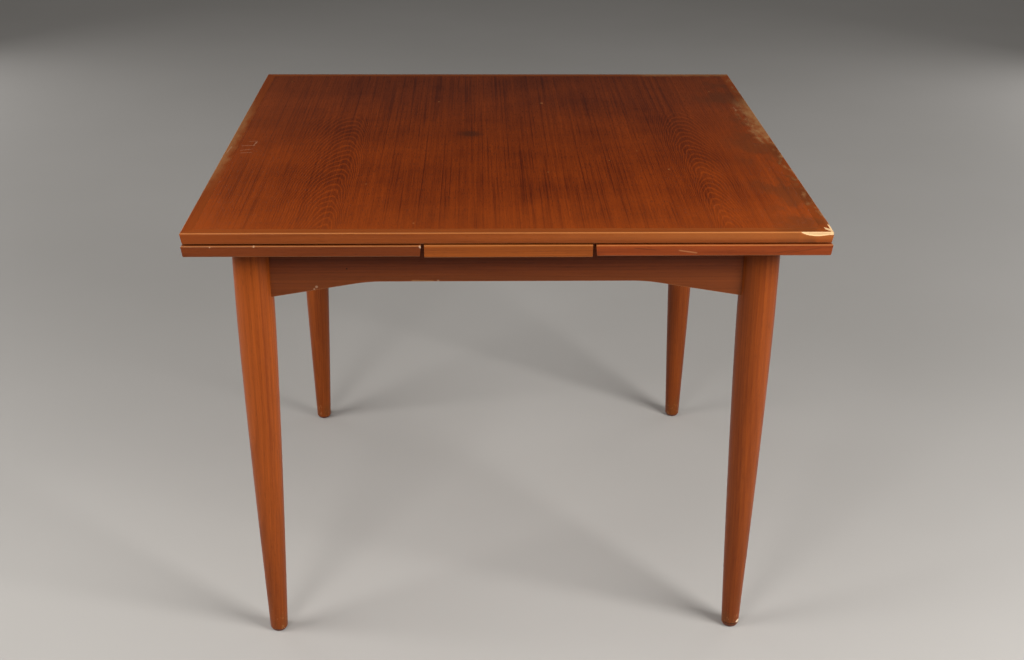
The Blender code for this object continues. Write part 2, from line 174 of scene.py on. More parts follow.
def dress(shader, colour, gloss, height, depth, strength):
    """Colour, roughness and fine relief, with its depth in metres for a height of 1."""
    tree = colour.id_data
    tree.links.new(colour, shader.inputs["Base Color"])
    if gloss:
        tree.links.new(gloss.socket, shader.inputs["Roughness"])
    bump = tree.nodes.new("ShaderNodeBump")
    bump.inputs["Strength"].default_value = strength
    bump.inputs["Distance"].default_value = depth
    tree.links.new(height.socket, bump.inputs["Height"])
    tree.links.new(bump.outputs["Normal"], shader.inputs["Normal"])


BARE_TEAK = (0.66, 0.43, 0.22)
# The colour of rubbed teak; on the crowns of eased arrises it also serves as a painted highlight.
RUBBED_TEAK_AND_HIGHLIGHT = (0.43, 0.185, 0.06)
PORE_COLOUR = (0.035, 0.009, 0.003)


def finish_wood(shader, colour, pores, relief, roughness, layers=()):
    """Pores, the piece's tint, rubbed edges that also carry a painted highlight, and bare chips over a
    wood colour.
    """
    tree = colour.id_data
    _, tint = own_values(tree)
    colour = blend_colours(pores * 0.55, colour, PORE_COLOUR)
    colour = blend_colours(1.0, colour, tint, "MULTIPLY")
    for share, over in layers:
        colour = blend_colours(share, colour, over)
    # Arris crowns are paled: partly rubbed finish, partly a painted highlight.
    rubbed_and_highlit = painted(tree, "rubbed_and_highlit")
    colour = blend_colours(rubbed_and_highlit * 0.55, colour, RUBBED_TEAK_AND_HIGHLIGHT)
    bare = painted(tree, "bare").step(0.45, 0.6)
    colour = blend_colours(bare, colour, BARE_TEAK)
    gloss = relief * -0.06 + pores * 0.12 + bare * 0.25 + rubbed_and_highlit * -0.08 + roughness
    dress(shader, colour, gloss, relief * 0.5 - pores, 0.00012, 0.6)


def teak(name, along, pale, dark, heart=(0.03, 0.012), ring=0.0034, roughness=0.42, layers=None):
    """Solid teak, its grain along one axis of the piece and its heart off to one side."""
    material, shader, place = start_material(name, roughness)
    chance, _ = own_values(material.node_tree)
    run = place[along] + chance * 9.0
    across, deep = (place[axis] for axis in "xyz" if axis != along)
    wander = cloud(run * 1.6, across * 7.0, deep * 7.0) * 0.016
    side = across + wander + chance * 0.012 - heart[0]
    depth = deep + wander * 0.6 - heart[1]
    radius = (side * side + depth * depth).math("SQRT")
    phase = radius / ring + cloud(run * 1.1, across * 30.0, deep * 30.0) * 1.4
    rings = tone_curve(phase.math("FRACT"), (0.0, 0.3), (0.14, 0.85), (0.62, 0.62), (1.0, 0.3))
    fibre = cloud(run * 9.0, across * 640.0, deep * 640.0, 3.0, 0.6)
    streak = cloud(run * 1.6, across * 170.0, deep * 170.0, 3.0, 0.6)
    blotch = cloud(run * 1.5, across * 34.0, deep * 34.0, 3.0)
    pores = cloud(run * 70.0, across * 1500.0, deep * 1500.0, 1.0).step(0.1, 0.22)
    share = rings * 0.46 + fibre * 0.85 + streak * 0.95 + blotch * 0.85 + 0.2
    colour = blend_colours(share, dark, pale)
    extra = layers(place) if layers else ()
    finish_wood(shader, colour, pores * 0.6, rings + fibre, roughness, extra)
    return material


def skin(bm, rings, capped=True):
    """Faces from each ring of points to the next, and over the first and the last."""
    for lower, upper in zip(rings, rings[1:]):
        for i in range(len(lower)):
            j = (i + 1) % len(lower)
            bm.faces.new((lower[i], lower[j], upper[j], upper[i]))
    if capped:
        bm.faces.new(reversed(rings[0]))
        bm.faces.new(rings[-1])


def lathe(profile, sides):
    """A closed turned shape about Z from (radius, height) pairs, bottom to top."""
    bm = bmesh.new()
    rings = []
    for radius, height in profile:
        ring = []
        for i in range(sides):
            angle = 2 * math.pi * i / sides
            ring.append(bm.verts.new((radius * math.cos(angle), radius * math.sin(angle), height)))
        rings.append(ring)
    skin(bm, rings)
    return bm


def arc(middle, radius, start, end, steps):
    """Points along an arc, with its angles in degrees."""
    points = []
    for i in range(steps + 1):
        angle = math.radians(start + (end - start) * i / steps)
        points.append((middle[0] + radius * math.cos(angle), middle[1] + radius * math.sin(angle)))
    return points


def add_piece(name, bm, material, body, replaced=(), at=(0, 0, 0), turn=(0, 0, 0), tint=1.0):
    """Makes the mesh an object in its place, moving with its body."""
    bmesh.ops.recalc_face_normals(bm, faces=bm.faces)
    mesh = bpy.data.meshes.new(name)
    bm.to_mesh(mesh)
    bm.free()
    mesh.shade_smooth()
    mesh.set_sharp_from_angle(angle=math.radians(38))
    mesh.materials.append(material)
    piece = bpy.data.objects.new(name, mesh)
    bpy.context.scene.collection.objects.link(piece)
    piece.location = at
    piece.rotation_euler = turn
    piece.color = (tint, tint, tint, 1.0) if isinstance(tint, float) else (*tint, 1.0)
    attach(piece, body)
    if replaced:
        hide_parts(*replaced)
    return piece


LEG_SIDES = 64
LEG_RINGS = 44
LEG_STRAIGHT = 0.113
LEG_FOOT_RADIUS = 0.0137
LEG_TAPER_POWER = 1.37
FOOT_ROUNDING = 0.0015
LEG_TOP_ROUNDING = 0.001
CORNERS = {"front_left": (-1, -1), "front_right": (1, -1), "back_left": (-1, 1), "back_right": (1, 1)}

leg_low, leg_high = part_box("leg_front_left")
LEG_RADIUS = (leg_high.x - leg_low.x) / 2
LEG_X = -(leg_high.x + leg_low.x) / 2
LEG_Y = -(leg_high.y + leg_low.y) / 2
LEG_BOTTOM, FRAME_TOP = leg_low.z, leg_high.z
taper_length = FRAME_TOP - LEG_STRAIGHT - LEG_BOTTOM


def leg_radius(height):
    """The leg's radius at a height above its own foot."""
    share = max(0.0, 1 - height / taper_length)
    return LEG_RADIUS - (LEG_RADIUS - LEG_FOOT_RADIUS) * share**LEG_TAPER_POWER


foot_centre = (leg_radius(FOOT_ROUNDING) - FOOT_ROUNDING, FOOT_ROUNDING)
leg_profile = arc(foot_centre, FOOT_ROUNDING, 270, 360, 5)
for step in range(1, LEG_RINGS + 1):
    height = FOOT_ROUNDING + (taper_length - FOOT_ROUNDING) * step / LEG_RINGS
    leg_profile.append((leg_radius(height), height))
top_centre = (LEG_RADIUS - LEG_TOP_ROUNDING, FRAME_TOP - LEG_BOTTOM - LEG_TOP_ROUNDING)
leg_profile += arc(top_centre, LEG_TOP_ROUNDING, 0, 90, 3)


def leg_marks(place):
    """Darker towards the foot, which is grubby and rubbed, with pale flecks where it was knocked."""
    x, y, z = place.values()
    low = z.step(0.08, 0.0)
    handled = z.step(0.52, 0.02)
    scuff = cloud(x * 260.0, y * 260.0, z * 150.0, 3.0).step(0.1, 0.2)
    grime = cloud(x * 60.0, y * 60.0, z * 30.0, 3.0).step(-0.1, 0.15)
    fleck = cloud(x * 420.0, y * 420.0, z * 330.0, 1.0).step(0.2, 0.25) * z.step(0.022, 0.004)
    return [
        (handled * 0.3, (0.12, 0.024, 0.0035)),
        (low * (grime * 0.35), (0.12, 0.048, 0.011)),
        (low * low * scuff * 0.5, RUBBED_TEAK_AND_HIGHLIGHT),
        (fleck * 0.75, (0.52, 0.3, 0.15)),
    ]


def chipped_foot(place):
    """The marks of the other feet, a dark cracked rim, and a flake gone from it on the right."""
    x, y, z = place.values()
    across, away, rise = x + 0.0134, y + 0.002, (z - 0.0066) * 1.4
    ragged = even_cloud(place, 500.0) * 0.004
    reach = (across * across + away * away + rise * rise).math("SQRT")
    flake = (reach + ragged).step(0.0046, 0.0036)
    facing = x.step(0.008, -0.004)
    crack = (z - 0.004 + ragged).size().step(0.0013, 0.0004) * facing
    below = (z + ragged).step(0.0046, 0.0036) * facing
    return leg_marks(place) + [
        (below * 0.75, (0.11, 0.024, 0.0075)),
        (crack * 0.8, (0.03, 0.01, 0.004)),
        (flake * 0.95, (0.8, 0.62, 0.43)),
    ]


LEG_WOOD = {
    "along": "z", "pale": (0.39, 0.085, 0.01), "dark": (0.17, 0.031, 0.0032),
    "heart": (0.034, 0.01), "ring": 0.004, "roughness": 0.4,
}
LEG_TEAK = teak("leg_teak", layers=leg_marks, **LEG_WOOD)
CHIPPED_LEG_TEAK = teak("chipped_leg_teak", layers=chipped_foot, **LEG_WOOD)
LEG_TURNS = {"front_left": 0.4, "front_right": 2.3, "back_left": 4.0, "back_right": 5.3}
# The right-hand legs are tinted darker than the left: partly a darker wood, partly painted shade
# standing for the front right leg's shaded left side.
LEFT_LEG_TINT = (0.98, 0.97, 0.9)
RIGHT_LEG_TINT = (0.75, 0.73, 0.71)
for corner, (way_x, way_y) in CORNERS.items():
    add_piece(
        f"turned_leg_{corner}", lathe(leg_profile, LEG_SIDES),
        CHIPPED_LEG_TEAK if corner == "front_right" else LEG_TEAK, "frame",
        [f"leg_{corner}"], (way_x * LEG_X, way_y * LEG_Y, LEG_BOTTOM),
        (0, 0, LEG_TURNS[corner]), LEFT_LEG_TINT if way_x < 0 else RIGHT_LEG_TINT,
    )

# ---------------------------------------------------------------- glides
# A moulded brown nylon button is nailed under each foot.  Its edge is rounded over, and
# years of being pushed about have scuffed it and left grit pressed into its face.


def nylon(name, colour, roughness):
    """Scuffed moulded plastic."""
    material, shader, place = start_material(name, roughness, 0.4)
    grit = even_cloud(place, 900.0, 4.0, 0.6)
    scuff = cloud(place["x"] * 240.0, place["y"] * 240.0, place["z"] * 500.0, 2.0).step(0.04, 0.2)
    dull = tuple(channel * 1.7 + 0.03 for channel in colour)
    shade = blend_colours(scuff * 0.5, colour, dull)
    dress(shader, shade, scuff * 0.2 + roughness, grit, 0.0002, 0.7)
    return material


GLIDE_NYLON = nylon("glide_nylon", (0.105, 0.024, 0.011), 0.46)
GLIDE_ROUNDING = 0.003
NAIL_DISH = [(0.0016, 0.0004), (0.003, 0.0004), (0.0034, 0.0)]
glide_low, glide_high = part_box("glide_front_left")
glide_radius = (glide_high.x - glide_low.x) / 2
glide_top = LEG_BOTTOM - 0.0001
glide_profile = NAIL_DISH + arc(
    (glide_radius - GLIDE_ROUNDING, GLIDE_ROUNDING), GLIDE_ROUNDING, 270, 360, 8
)
glide_profile += [(glide_radius, glide_top - 0.0003), (glide_radius - 0.0003, glide_top)]
for corner, (way_x, way_y) in CORNERS.items():
    add_piece(
        f"nylon_glide_{corner}", lathe(glide_profile, LEG_SIDES),
        GLIDE_NYLON, "frame",
        [f"glide_{corner}"], (way_x * LEG_X, way_y * LEG_Y, 0.0),
    )

# ---------------------------------------------------------------- aprons
# Four rails of solid teak join the legs.  Each is planed 22 mm thick, its lower edge is
# sawn to a shallow arch that drops towards the legs, its arrises are eased, and its ends
# are let a few millimetres into the round legs.  The side rails are notched for the bearers.

ARRIS = 0.0012
ARCH_FLAT_HALF = 0.18
ARCH_RADIUS = 0.25
ARCH_SLOPE = 9.5
ARCH_STEPS = 12
LET_IN = 0.0055

apron_low, apron_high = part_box("apron_front")
APRON_THICKNESS = apron_high.y - apron_low.y
APRON_DEPTH = 0.0632
apron_bottom = FRAME_TOP - APRON_DEPTH


def ease(bm, radius=ARRIS, steps=2, sharper_than=30):
    """Rounds every sharp edge, and marks the crown of each round for the paler colour of rubbed finish
    and painted highlight.
    """
    sharp = math.radians(sharper_than)
    edges = [e for e in bm.edges if len(e.link_faces) == 2 and e.calc_face_angle() > sharp]
    made = bmesh.ops.bevel(
        bm, geom=edges, offset=radius, offset_type="OFFSET", segments=steps,
        profile=0.5, affect="EDGES", clamp_overlap=True,
    )
    rounded = set(made["faces"])
    # The crown mark pales the colour there: rubbed finish and a painted highlight together.
    rubbed_and_highlit = bm.verts.layers.float.new("rubbed_and_highlit")
    for vert in bm.verts:
        vert[rubbed_and_highlit] = 1.0 if all(face in rounded for face in vert.link_faces) else 0.0
    return bm


def extrude(outline, place, low, high):
    """A flat outline pushed from one depth to another; place(u, v, depth) gives a point."""
    bm = bmesh.new()
    skin(bm, [[bm.verts.new(place(u, v, depth)) for u, v in outline] for depth in (low, high)])
    bmesh.ops.recalc_face_normals(bm, faces=bm.faces)
    return bm


def apron_outline(half, middle_bottom, notches=()):
    """(run, height): an arched lower edge, and a straight top with square notches in it."""
    centre = (ARCH_FLAT_HALF, middle_bottom - ARCH_RADIUS)
    lower = arc(centre, ARCH_RADIUS, 90, 90 - ARCH_SLOPE, ARCH_STEPS)
    last_run, last_height = lower[-1]
    drop = (half - last_run) * math.tan(math.radians(ARCH_SLOPE))
    lower.append((half, last_height - drop))
    top = [(half, FRAME_TOP)]
    for middle, width, floor in sorted(notches, reverse=True):
        right, left = middle + width / 2, middle - width / 2
        top += [(right, FRAME_TOP), (right, floor), (left, floor), (left, FRAME_TOP)]
    top.append((-half, FRAME_TOP))
    mirrored = [(-run, height) for run, height in reversed(lower)]
    return lower + top + mirrored[:-1]


APRON_WOOD = {
    "pale": (0.2, 0.04, 0.0065), "dark": (0.085, 0.015, 0.0022), "heart": (0.075, 0.045), "ring": 0.005
}


def distance_to(place, x, other, rise="z"):
    """How far each point is from one spot of a face that stands, or lies with rise y."""
    across, away = place["x"] - x, place[rise] - other
    return (across * across + away * away).math("SQRT")


def spot(place, x, other, size, rise="z"):
    """A small round mark on such a face."""
    return distance_to(place, x, other, rise).step(size, size * 0.4)


def scored(place, start, end, width, rise="z"):
    """A thin line between two points of a face: 1 on it and 0 off it."""
    start, end = Vector(start), Vector(end)
    length = (end - start).length
    line = (end - start) / length
    across, away = place["x"] - start.x, place[rise] - start.y
    along = across * line.x + away * line.y
    beside = (across * line.y - away * line.x).size()
    inside = along.step(0.0, length * 0.1) * along.step(length, length * 0.9)
    return beside.step(width, width * 0.35) * inside


def apron_marks(place):
    """On the front rail, painted light towards the lower edge, a pale bruise, a pin-hole, and a
    splinter off the lower edge.
    """
    x, z = place["x"], place["z"]
    facing = (place["y"] * -1.0).step(0.01, 0.0108)
    rough = cloud(x * 500.0, z * 500.0, 2.0, 3.0)
    bruise = spot(place, -0.2755, 0.602, 0.0026) + spot(place, -0.279, 0.5985, 0.0018)
    splinter = spot(place, -0.1, 0.6105, 0.0026)
    line = scored(place, (-0.14, 0.6112), (-0.104, 0.6104), 0.0012)
    # Painted light: the front rail is lighter towards its lower edge.
    painted_light_low = (z + rough * 0.004).step(0.64, 0.612) * facing
    return [
        (painted_light_low * 0.22, (0.27, 0.075, 0.014)),
        ((bruise + splinter) * facing * 0.6, (0.45, 0.3, 0.19)),
        (line * facing * 0.5, (0.42, 0.23, 0.1)),
        (spot(place, -0.231, 0.63, 0.0016) * facing * 0.8, (0.01, 0.004, 0.002)),
    ]


APRON_TEAK_X = teak("apron_teak_x", "x", layers=apron_marks, **APRON_WOOD)
APRON_TEAK_Y = teak("apron_teak_y", "y", **APRON_WOOD)

half = APRON_THICKNESS / 2
for side, way in (("front", -1), ("back", 1)):
    outline = apron_outline(LEG_X - LEG_RADIUS + LET_IN, apron_bottom)
    add_piece(
        f"arched_apron_{side}", ease(extrude(outline, lambda u, v, d: (u, d, v), -half, half)),
        APRON_TEAK_X, "frame",
        [f"apron_{side}"], (0, way * LEG_Y, 0),
    )

NOTCH_CLEARANCE = 0.0006
NOTCH_ARRIS = 0.0009
UNDER_BEARER = 0.0003
for side, way in (("left", -1), ("right", 1)):
    notches = []
    for end in ("front", "back"):
        low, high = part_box(f"{side}_bearer_{end}")
        width = high.y - low.y + 2 * NOTCH_CLEARANCE
        notches.append(((low.y + high.y) / 2, width, low.z - UNDER_BEARER))
    outline = apron_outline(LEG_Y - LEG_RADIUS + LET_IN, apron_bottom, notches)
    add_piece(
        f"arched_apron_{side}",
        ease(extrude(outline, lambda u, v, d: (d, u, v), -half, half), NOTCH_ARRIS),
        APRON_TEAK_Y, "frame",
        [f"apron_{side}"], (way * LEG_X, 0, 0),
    )

# ---------------------------------------------------------------- corner blocks and rail
# A beech block is glued and screwed across each inside corner, coped round the leg.  A
# beech rail crosses the middle of the frame, and the bearers run on top of it.

BEECH_COLOURS = {"pale": (0.56, 0.33, 0.16), "dark": (0.36, 0.185, 0.08)}


def beech(name, along):
    """Planed beech: close and pale, with short dark ray flecks instead of open pores."""
    material, shader, place = start_material(name, 0.55)
    chance, tint = own_values(material.node_tree)
    run = place[along] + chance * 5.0
    across, deep = (place[axis] for axis in "xyz" if axis != along)
    wander = cloud(run * 2.0, across * 9.0, deep * 9.0) * 0.01
    phase = (across + deep * 0.6 + wander) / 0.0045
    rings = tone_curve(phase.math("FRACT"), (0.0, 0.35), (0.2, 0.8), (0.7, 0.7), (1.0, 0.35))
    fibre = cloud(run * 30.0, across * 800.0, deep * 800.0, 3.0, 0.6)
    flecks = cloud(run * 160.0, across * 1100.0, deep * 700.0, 1.0).step(0.13, 0.21)
    blotch = cloud(run * 4.0, across * 20.0, deep * 20.0, 3.0)
    share = rings * 0.35 + fibre * 0.7 + blotch * 0.8 + 0.35
    colour = blend_colours(share, BEECH_COLOURS["dark"], BEECH_COLOURS["pale"])
    colour = blend_colours(flecks * 0.5, colour, (0.2, 0.085, 0.035))
    colour = blend_colours(1.0, colour, tint, "MULTIPLY")
    dress(shader, colour, blotch * 0.2 + 0.55, fibre + rings * 0.3, 0.00015, 0.5)
    return material


BEECH_Z = beech("beech_z", "z")
BEECH_Y = beech("beech_y", "y")
BLOCK_TIP = 0.008
BLOCK_ARRIS = 0.001
BLOCK_TO_LEG = 0.0002
block_low, block_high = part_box("corner_block_back_right")
cope_radius = LEG_RADIUS + BLOCK_TO_LEG
leg_to_face = LEG_X - block_high.x
cope_side = math.sqrt(cope_radius**2 - leg_to_face**2)
cope_start = math.degrees(math.atan2(-cope_side, -leg_to_face))
cope_end = math.degrees(math.atan2(-leg_to_face, -cope_side))
block_outline = arc((LEG_X, LEG_Y), cope_radius, cope_start, cope_end, 10)
block_outline += [
    (block_low.x, block_high.y),
    (block_low.x, block_high.y - BLOCK_TIP),
    (block_high.x - BLOCK_TIP, block_low.y),
    (block_high.x, block_low.y),
]
for corner, (way_x, way_y) in CORNERS.items():
    outline = [(way_x * (x - LEG_X), way_y * (y - LEG_Y)) for x, y in block_outline]
    add_piece(
        f"coped_block_{corner}",
        ease(extrude(outline, lambda u, v, d: (u, v, d), block_low.z, block_high.z), BLOCK_ARRIS),
        BEECH_Z, "frame",
        [f"corner_block_{corner}"], (way_x * LEG_X, way_y * LEG_Y, 0),
    )


def block(low, high, radius=ARRIS):
    """A planed stick with eased arrises, centred on its own origin."""
    half = (high - low) / 2
    outline = ((-half.x, -half.y), (half.x, -half.y), (half.x, half.y), (-half.x, half.y))
    return ease(extrude(outline, lambda u, v, d: (u, v, d), -half.z, half.z), radius)


rail_low, rail_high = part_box("bearer_rail")
add_piece(
    "middle_rail", block(rail_low, rail_high),
    BEECH_Y, "frame",
    ["bearer_rail"], (rail_low + rail_high) / 2,
)

# ---------------------------------------------------------------- leg bolts, nuts and block screws
# A steel bolt is screwed into each leg and comes through the corner block, where a
# hexagon nut pulls the leg tight.  Two slotted screws above and below it hold the block.


def zinc(name, colour):
    """Dull zinc plate: grey, a little yellow, clouded by handling."""
    material, shader, place = start_material(name, 0.36, 0.5)
    shader.inputs["Metallic"].default_value = 1.0
    cloudy = even_cloud(place, 350.0, 4.0, 0.6)
    spots = even_cloud(place, 1300.0).step(0.12, 0.22)
    dull = tuple(channel * 0.55 for channel in colour)
    shade = blend_colours(cloudy + 0.45, dull, colour)
    shade = blend_colours(spots * 0.5, shade, (0.2, 0.11, 0.06))
    dress(shader, shade, cloudy * 0.4 + spots * 0.2 + 0.36, cloudy, 0.0001, 0.4)
    return material


ZINC = zinc("zinc_plate", (0.56, 0.53, 0.47))
BOLT_RADIUS = 0.004
THREAD_PITCH = 0.00125
THREAD_DEPTH = 0.0004
NUT_THICKNESS = 0.0065
NUT_RADIUS = 0.0075
BOLT_IN_LEG = 0.02
BOLT_PAST_NUT = 0.005
NUT_TO_BLOCK = 0.0002
BLOCK_SCREW_RISES = {"low": -0.019, "high": 0.019}
SCREW_RADIUS = 0.0038
SCREW_HEAD = 0.0022
block_middle = (block_low.z + block_high.z) / 2
face_sum = block_high.x + block_low.y - BLOCK_TIP
to_face = (LEG_X + LEG_Y - face_sum) / math.sqrt(2)
bolt_start = LEG_RADIUS - BOLT_IN_LEG
bolt_end = to_face + NUT_TO_BLOCK + 0.0001 + NUT_THICKNESS + BOLT_PAST_NUT


def bolt_profile():
    """(radius, distance): a plain shank with a rolled thread at its outer end."""
    points = [(BOLT_RADIUS * 0.6, bolt_start), (BOLT_RADIUS, bolt_start + BOLT_RADIUS)]
    thread_start = to_face - 0.004
    turns = int((bolt_end - 0.001 - thread_start) / THREAD_PITCH)
    for i in range(turns):
        here = thread_start + i * THREAD_PITCH
        points.append((BOLT_RADIUS, here))
        points.append((BOLT_RADIUS - THREAD_DEPTH, here + THREAD_PITCH / 2))
    points += [(BOLT_RADIUS, bolt_end - 0.0011), (BOLT_RADIUS * 0.75, bolt_end)]
    return points


def hexagon_nut(radius, thickness, hole, sides=36):
    """A hexagon nut with turned chamfers and a round hole."""
    flat = radius * math.cos(math.pi / 6)
    bm = bmesh.new()
    sections = (
        (hole, 0.0, False),
        (flat * 0.95, 0.0, False),
        (radius, thickness * 0.16, True),
        (radius, thickness * 0.84, True),
        (flat * 0.95, thickness, False),
        (hole, thickness, False),
    )
    rings = []
    for reach, height, hexagonal in sections:
        ring = []
        for i in range(sides):
            angle = 2 * math.pi * i / sides
            beside = angle % (math.pi / 3) - math.pi / 6
            wide = flat / math.cos(beside) if hexagonal else reach
            ring.append(bm.verts.new((wide * math.cos(angle), wide * math.sin(angle), height)))
        rings.append(ring)
    skin(bm, rings + rings[:1], capped=False)
    return bm


def slotted_head(radius, height, slot_width=0.0009, slot_depth=0.001):
    """A countersunk screw head and a short shank, its top at height 0, with a sawn slot."""
    profile = [
        (radius * 0.42, -height * 3.0), (radius * 0.48, -height),
        (radius * 0.97, -0.0003), (radius, -0.00015), (radius * 0.97, 0.0),
    ]
    bm = lathe(profile, 32)
    top = [face for face in bm.faces if len(face.verts) > 4 and face.calc_center_median().z > -1e-6]
    for edge_side in (-1, 1):
        geometry = top + list({edge for face in top for edge in face.edges})
        geometry += list({vert for face in top for vert in face.verts})
        bmesh.ops.bisect_plane(
            bm, geom=geometry, plane_co=(edge_side * slot_width / 2, 0, 0), plane_no=(1, 0, 0)
        )
        top = [face for face in bm.faces if all(abs(vert.co.z) < 1e-7 for vert in face.verts)]
    middle = [face for face in top if abs(face.calc_center_median().x) < slot_width / 4]
    pushed = bmesh.ops.extrude_face_region(bm, geom=middle)
    bmesh.ops.delete(bm, geom=middle, context="FACES_ONLY")
    for item in pushed["geom"]:
        if isinstance(item, bmesh.types.BMVert):
            item.co.z -= slot_depth
            item.co.y *= 0.86
    return bm


for corner, (way_x, way_y) in CORNERS.items():
    inward = Vector((-way_x, -way_y, 0)).normalized()
    turn = inward.to_track_quat("Z", "Y").to_euler()
    leg_centre = Vector((way_x * LEG_X, way_y * LEG_Y, block_middle))
    add_piece(
        f"threaded_bolt_{corner}", lathe(bolt_profile(), 32),
        ZINC, "frame",
        [f"leg_bolt_{corner}"], leg_centre, turn,
    )
    add_piece(
        f"hexagon_nut_{corner}", hexagon_nut(NUT_RADIUS, NUT_THICKNESS, BOLT_RADIUS + 0.0001),
        ZINC, "frame",
        [f"leg_nut_{corner}"], leg_centre + inward * (to_face + NUT_TO_BLOCK), turn,
    )
    for level, rise in BLOCK_SCREW_RISES.items():
        add_piece(
            f"block_screw_{level}_{corner}", slotted_head(SCREW_RADIUS, SCREW_HEAD),
            ZINC, "frame",
            at=leg_centre + inward * (to_face + NUT_TO_BLOCK) + Vector((0, 0, rise)),
            turn=turn,
        )

# ---------------------------------------------------------------- centre board
# A strip of veneered board as wide as the gap between the leaves lies across the frame
# and is screwed down to the front and back rails.  Only its two ends are edged in solid
# teak.  Two holes take the top's guide pins, and two felt pads carry the loose top.


RING_PITCH = 0.0022
CROWN_SLOPE = 0.088
VENEER_RING = ((0.0, 0.12), (0.45, 0.05), (0.68, 0.95), (0.8, 0.9), (0.92, 0.05), (1.0, 0.12))


def crown_rings(place, crowns, joint):
    """The ring number over crown-cut sheets, and how near each spot is to a crown.

    The knife meets the tree's rings at a slant, so they show as arches nested down each
    crown.  A crown is (x, y of the hindmost arch, sideways drift, lean to one flank).
    """
    x, y = place["x"], place["y"]
    bent = x + cloud(x * 7.0, y * 1.3, 0.0) * 0.012
    sheets = []
    for middle, start, drift, lean in crowns:
        ahead = (y * -1.0 + start).math("SMOOTH_MAX", 0.0, 0.03)
        sway = cloud(y * 7.0, middle * 50.0, 0.0) * 0.03
        off = bent - middle + ahead * -drift + sway * ahead.step(0.0, 0.15)
        off = off + off.size() * lean
        depth = ahead * -CROWN_SLOPE + (0.018 + CROWN_SLOPE * (start + 0.45))
        radius = (off * off + depth * depth).math("SQRT")
        near = off.size().step(0.085, 0.03) * ahead.step(0.0, 0.05)
        sheets.append((radius / RING_PITCH, near))
    if len(sheets) == 1:
        return sheets[0]
    beyond = x.step(joint - 0.0002, joint + 0.0002)
    return [left + (right - left) * beyond for left, right in zip(*sheets)]


def veneer(name, pale, dark, crowns, joint=0.0, roughness=0.46, layers=None):
    """Crown-cut teak veneer with the grain running from front to back."""
    material, shader, place = start_material(name, roughness, 0.13)
    x, y = place["x"], place["y"]
    phase, crown = crown_rings(place, crowns, joint)
    phase = phase + cloud(x * 18.0, y * 6.0, 1.5) * 1.6 + cloud(x * 60.0, y * 22.0, 4.0) * 0.55
    rings = tone_curve(phase.math("FRACT"), *VENEER_RING)
    streak = cloud(x * 190.0, y * 1.6, 2.0, 3.0, 0.7)
    fibre = cloud(x * 620.0, y * 12.0, 0.0, 3.0, 0.6)
    band = cloud(x * 11.0, y * 0.6, 7.0, 2.0)
    blotch = cloud(x * 6.0, y * 7.0, 3.0, 4.0, 0.6)
    pores = cloud(x * 1300.0, y * 55.0, 0.0, 1.0).step(0.08, 0.2)
    lines = cloud(x * 330.0, y * 1.8, 9.0, 2.0, 0.6).step(0.04, 0.14) * (crown * -0.7 + 1.0)
    figure = (rings - 0.35) * (crown * 0.34 + 0.16) - crown * 0.1 - lines * 0.34
    share = figure + streak * 1.00 + fibre * 0.75 + band * 0.7 + blotch * 1.00 + 0.54
    colour = blend_colours(share, dark, pale)
    extra = layers(place) if layers else ()
    finish_wood(shader, colour, pores, rings * 0.6 + fibre, roughness, extra)
    return material


VENEER_TONES = {"pale": (0.208, 0.0325, 0.0014), "dark": (0.062, 0.0072, 0.0004)}
FRESH_TONES = {"pale": (0.26, 0.066, 0.012), "dark": (0.11, 0.022, 0.0035)}
CENTRE_VENEER = veneer("centre_board_veneer", crowns=[(0.035, 0.3, 0.02, 0.2)], **FRESH_TONES)
EDGING_CUT = {"heart": (0.04, 0.05), "ring": 0.003, "roughness": 0.4}
EDGING_WOOD = {"pale": (0.245, 0.062, 0.0115), "dark": (0.11, 0.024, 0.0038), **EDGING_CUT}
EDGING_X = teak("edging_teak_x", "x", **EDGING_WOOD)
EDGING_Y = teak("edging_teak_y", "y", **EDGING_WOOD)
BOARD_EDGING_TINT = (1.38, 1.33, 0.95)

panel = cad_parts["centre_board_panel"]
panel.data.materials.clear()
panel.data.materials.append(CENTRE_VENEER)

EDGE_ARRIS = 0.0016
EDGE_WIDTH = 0.016
LEAF_UNDERCUT = 0.0015


def edge_profile(thickness, undercut, faces=12):
    """(inset, height, how rubbed and highlit) round a strip's section, from its underside to its top.
    """
    outline = [(EDGE_WIDTH, 0.0, 0.0)]
    lower = arc((undercut + EDGE_ARRIS, EDGE_ARRIS), EDGE_ARRIS, 270, 180, 4)
    upper = arc((EDGE_ARRIS, thickness - EDGE_ARRIS), EDGE_ARRIS, 180, 90, 6)
    outline += [(u, v, 0.5 * math.sin(math.pi * i / 4)) for i, (u, v) in enumerate(lower)]
    for i in range(1, faces):
        share = i / faces
        height = EDGE_ARRIS + (thickness - 2 * EDGE_ARRIS) * share
        outline.append((undercut * (1 - share), height, 0.0))
    outline += [(u, v, math.sin(math.pi * i / 6)) for i, (u, v) in enumerate(upper)]
    outline += [(inset, thickness, 0.0) for inset in (0.0026, 0.0038, 0.0054, EDGE_WIDTH)]
    return outline


SIDE_WAYS = {"left": (-1, 0), "right": (1, 0), "front": (0, -1), "back": (0, 1)}


